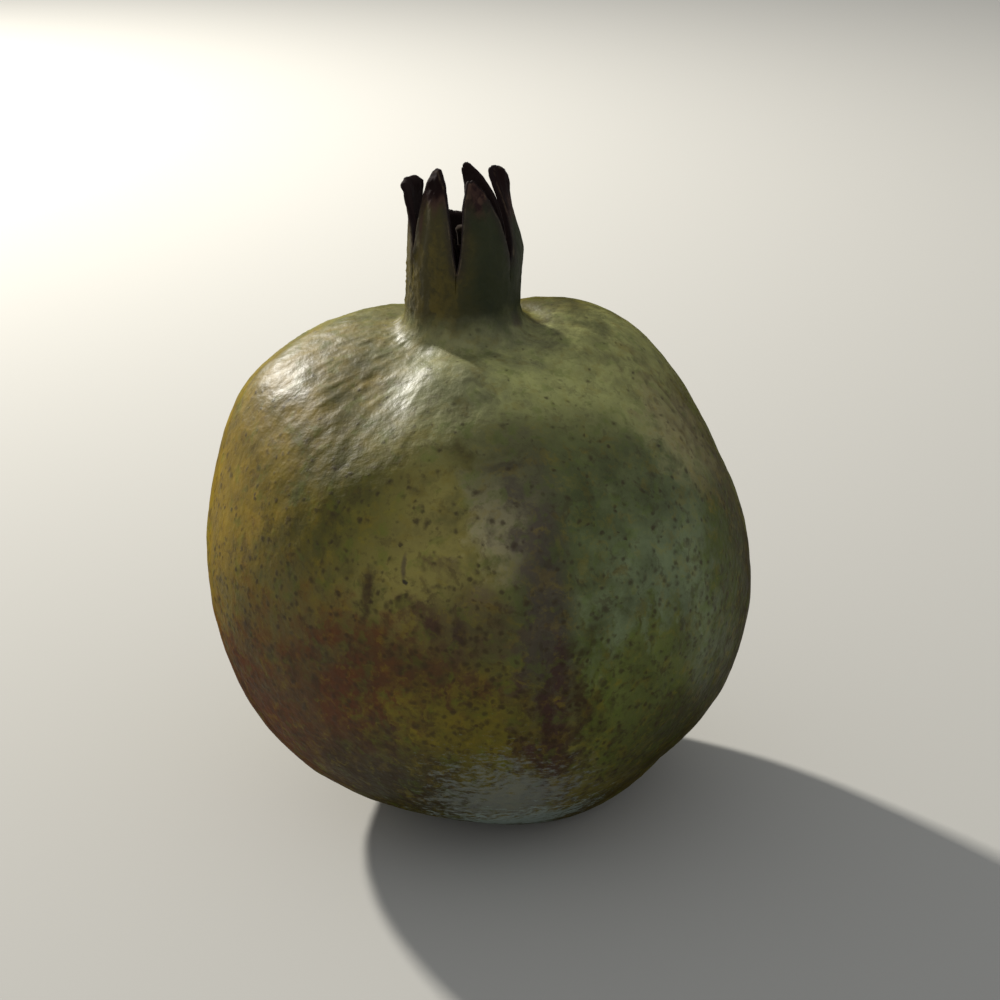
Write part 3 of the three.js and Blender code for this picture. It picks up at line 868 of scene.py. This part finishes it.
withered = bmesh.new()
profile = [withered.verts.new((r, 0, z)) for r, z in DISC_PROFILE]
for lower, upper in zip(profile, profile[1:]):
    withered.edges.new((lower, upper))
bmesh.ops.spin(
    withered,
    geom=withered.verts[:] + withered.edges[:],
    cent=(0, 0, 0),
    axis=(0, 0, 1),
    angle=2 * math.pi,
    steps=40,
    use_merge=True,
)
bmesh.ops.remove_doubles(withered, verts=withered.verts, dist=1e-4)
DISC_CRUMPLE = 0.25
for vert in withered.verts:
    vert.co += DISC_CRUMPLE * noise.noise_vector(vert.co / 1.6) * min(1, vert.co.xy.length / 2)
for count, ring_radius, ring_height in STAMEN_RINGS:
    for i in range(count):
        a = 2 * math.pi * (i + dice.uniform(-0.4, 0.4)) / count
        turn = dice.uniform(-0.6, 0.6)
        reach = dice.uniform(-0.9, 0.6)
        tall = ring_height * dice.uniform(0.72, 1.12)
        droop = dice.uniform(0, 1.8)
        spots = []
        for step in range(FILAMENT_STEPS):
            share = step / (FILAMENT_STEPS - 1)
            r = ring_radius + reach * share**1.5 + 0.25 * math.sin(6 * share + i)
            r = min(r, CUP_RADIUS)
            b = a + turn * share**1.4
            z = THREAD_FOOT + tall * share - droop * share**4
            spots.append(Vector((r * math.cos(b), r * math.sin(b), z)))
        ring = bmesh.ops.create_circle(withered, cap_ends=True, segments=5, radius=FILAMENT_RADIUS)["verts"]
        bmesh.ops.translate(withered, vec=spots[0], verts=ring)
        tip_face = next(f for f in ring[0].link_faces)
        for before, after in zip(spots, spots[1:]):
            made = bmesh.ops.extrude_discrete_faces(withered, faces=[tip_face])
            tip_face = made["faces"][0]
            bmesh.ops.translate(withered, vec=after - before, verts=tip_face.verts[:])
        anther = bmesh.ops.create_uvsphere(
            withered, u_segments=7, v_segments=5, radius=ANTHER_RADIUS
        )["verts"]
        bmesh.ops.scale(withered, vec=(0.75, 1.1, 1.7), verts=anther)
        bmesh.ops.rotate(
            withered,
            cent=(0, 0, 0),
            matrix=Matrix.Rotation(a, 3, "Z") @ Matrix.Rotation(dice.uniform(-0.9, 0.9), 3, "Y"),
            verts=anther,
        )
        bmesh.ops.translate(withered, vec=spots[-1], verts=anther)
bmesh.ops.translate(
    withered, vec=(float(core_at(DISC_FLOOR)), FOOT_MIDDLE[1], 0), verts=withered.verts
)
bmesh.ops.scale(withered, vec=(MM, MM, MM), verts=withered.verts)
bmesh.ops.recalc_face_normals(withered, faces=withered.faces)
for face in withered.faces:
    face.smooth = True
stamens_mesh = bpy.data.meshes.new("withered_stamens")
withered.to_mesh(stamens_mesh)
withered.free()
stamens = bpy.data.objects.new("withered_stamens", stamens_mesh)
bpy.context.scene.collection.objects.link(stamens)

# Dried filaments and anthers: dull brown threads, blotched every millimetre or so, with greyer, dusty tips,
# all painted near black as painted shade inside the crown.
dried_and_shaded = bpy.data.materials.new("stamens_withered_shaded")
dried_and_shaded.use_nodes = True
tree = dried_and_shaded.node_tree
tree.nodes.clear()
place = add_node(tree, "ShaderNodeTexCoord", {}).outputs["Object"]
blotches = add_node(tree, "ShaderNodeTexNoise", {"Vector": place, "Scale": 700, "Detail": 3}).outputs["Fac"]
up_stamen = add_node(
    tree,
    "ShaderNodeMapRange",
    {
        "Value": add_node(tree, "ShaderNodeSeparateXYZ", {0: place}).outputs["Z"],
        "From Min": 0.095,
        "From Max": 0.1,
    },
).outputs[0]
thread = painted(linear("#1a120c"), blotches, linear("#2f2218"))
colour = painted(thread, up_stamen, painted(linear("#191310"), blotches, linear("#32281e")))
bump = add_node(
    tree, "ShaderNodeBump", {"Height": blotches, "Strength": 0.7, "Distance": 0.0002}
).outputs[0]
surface = add_node(
    tree,
    "ShaderNodeBsdfPrincipled",
    {"Base Color": colour, "Roughness": 1, "Specular IOR Level": 0.1, "Normal": bump},
).outputs[0]
add_node(tree, "ShaderNodeOutputMaterial", {"Surface": surface})
stamens_mesh.materials.append(dried_and_shaded)
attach(stamens, "root")
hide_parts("stamens")

# The floor is a wide sheet of matt paper, pale and plain, and the fruit stands on it on the flat ring of its
# stalk end.
FLOOR_WIDTH = 30
ground = bmesh.new()
bmesh.ops.create_grid(ground, x_segments=1, y_segments=1, size=FLOOR_WIDTH / 2)
floor_mesh = bpy.data.meshes.new("floor")
ground.to_mesh(floor_mesh)
ground.free()
floor = bpy.data.objects.new("floor", floor_mesh)
bpy.context.scene.collection.objects.link(floor)
paper = bpy.data.materials.new("backdrop_paper_matte")
paper.use_nodes = True
paper.node_tree.nodes["Principled BSDF"].inputs["Base Color"].default_value = linear("#abaaa6")
paper.node_tree.nodes["Principled BSDF"].inputs["Roughness"].default_value = 1
paper.node_tree.nodes["Principled BSDF"].inputs["Specular IOR Level"].default_value = 0
floor_mesh.materials.append(paper)

# Soft studio light: a softbox low behind the left shoulder of the fruit, and a dim fill, more of it from the
# front than from behind.
KEY_AZIMUTH = math.radians(131)
KEY_ELEVATION = math.radians(29)
KEY_DISTANCE = 1.1
KEY_AIM = Vector((0, 0, 0.06))
softbox = bpy.data.lights.new("softbox", "AREA")
softbox.shape = "SQUARE"
softbox.size = 0.06
softbox.energy = 23
softbox.color = (1, 0.96, 0.88)
key = bpy.data.objects.new("softbox", softbox)
towards_key = Vector(
    (
        math.cos(KEY_AZIMUTH) * math.cos(KEY_ELEVATION),
        math.sin(KEY_AZIMUTH) * math.cos(KEY_ELEVATION),
        math.sin(KEY_ELEVATION),
    )
)
key.location = KEY_AIM + KEY_DISTANCE * towards_key
key.rotation_euler = towards_key.to_track_quat("Z", "Y").to_euler()
bpy.context.scene.collection.objects.link(key)

world = bpy.data.worlds.new("fill")
world.use_nodes = True
sky = world.node_tree
facing_to = add_node(sky, "ShaderNodeTexCoord", {}).outputs["Generated"]
towards = add_node(sky, "ShaderNodeSeparateXYZ", {0: facing_to})
fill = add_node(
    sky,
    "ShaderNodeMapRange",
    {"Value": towards.outputs["Y"], "From Min": -0.8, "From Max": 0.8, "To Min": 0.72, "To Max": 0.3},
).outputs[0]
sky.nodes["Background"].inputs["Color"].default_value = (0.96, 0.98, 1, 1)
sky.links.new(fill, sky.nodes["Background"].inputs["Strength"])
bpy.context.scene.world = world
bpy.context.scene.view_settings.view_transform = "Standard"
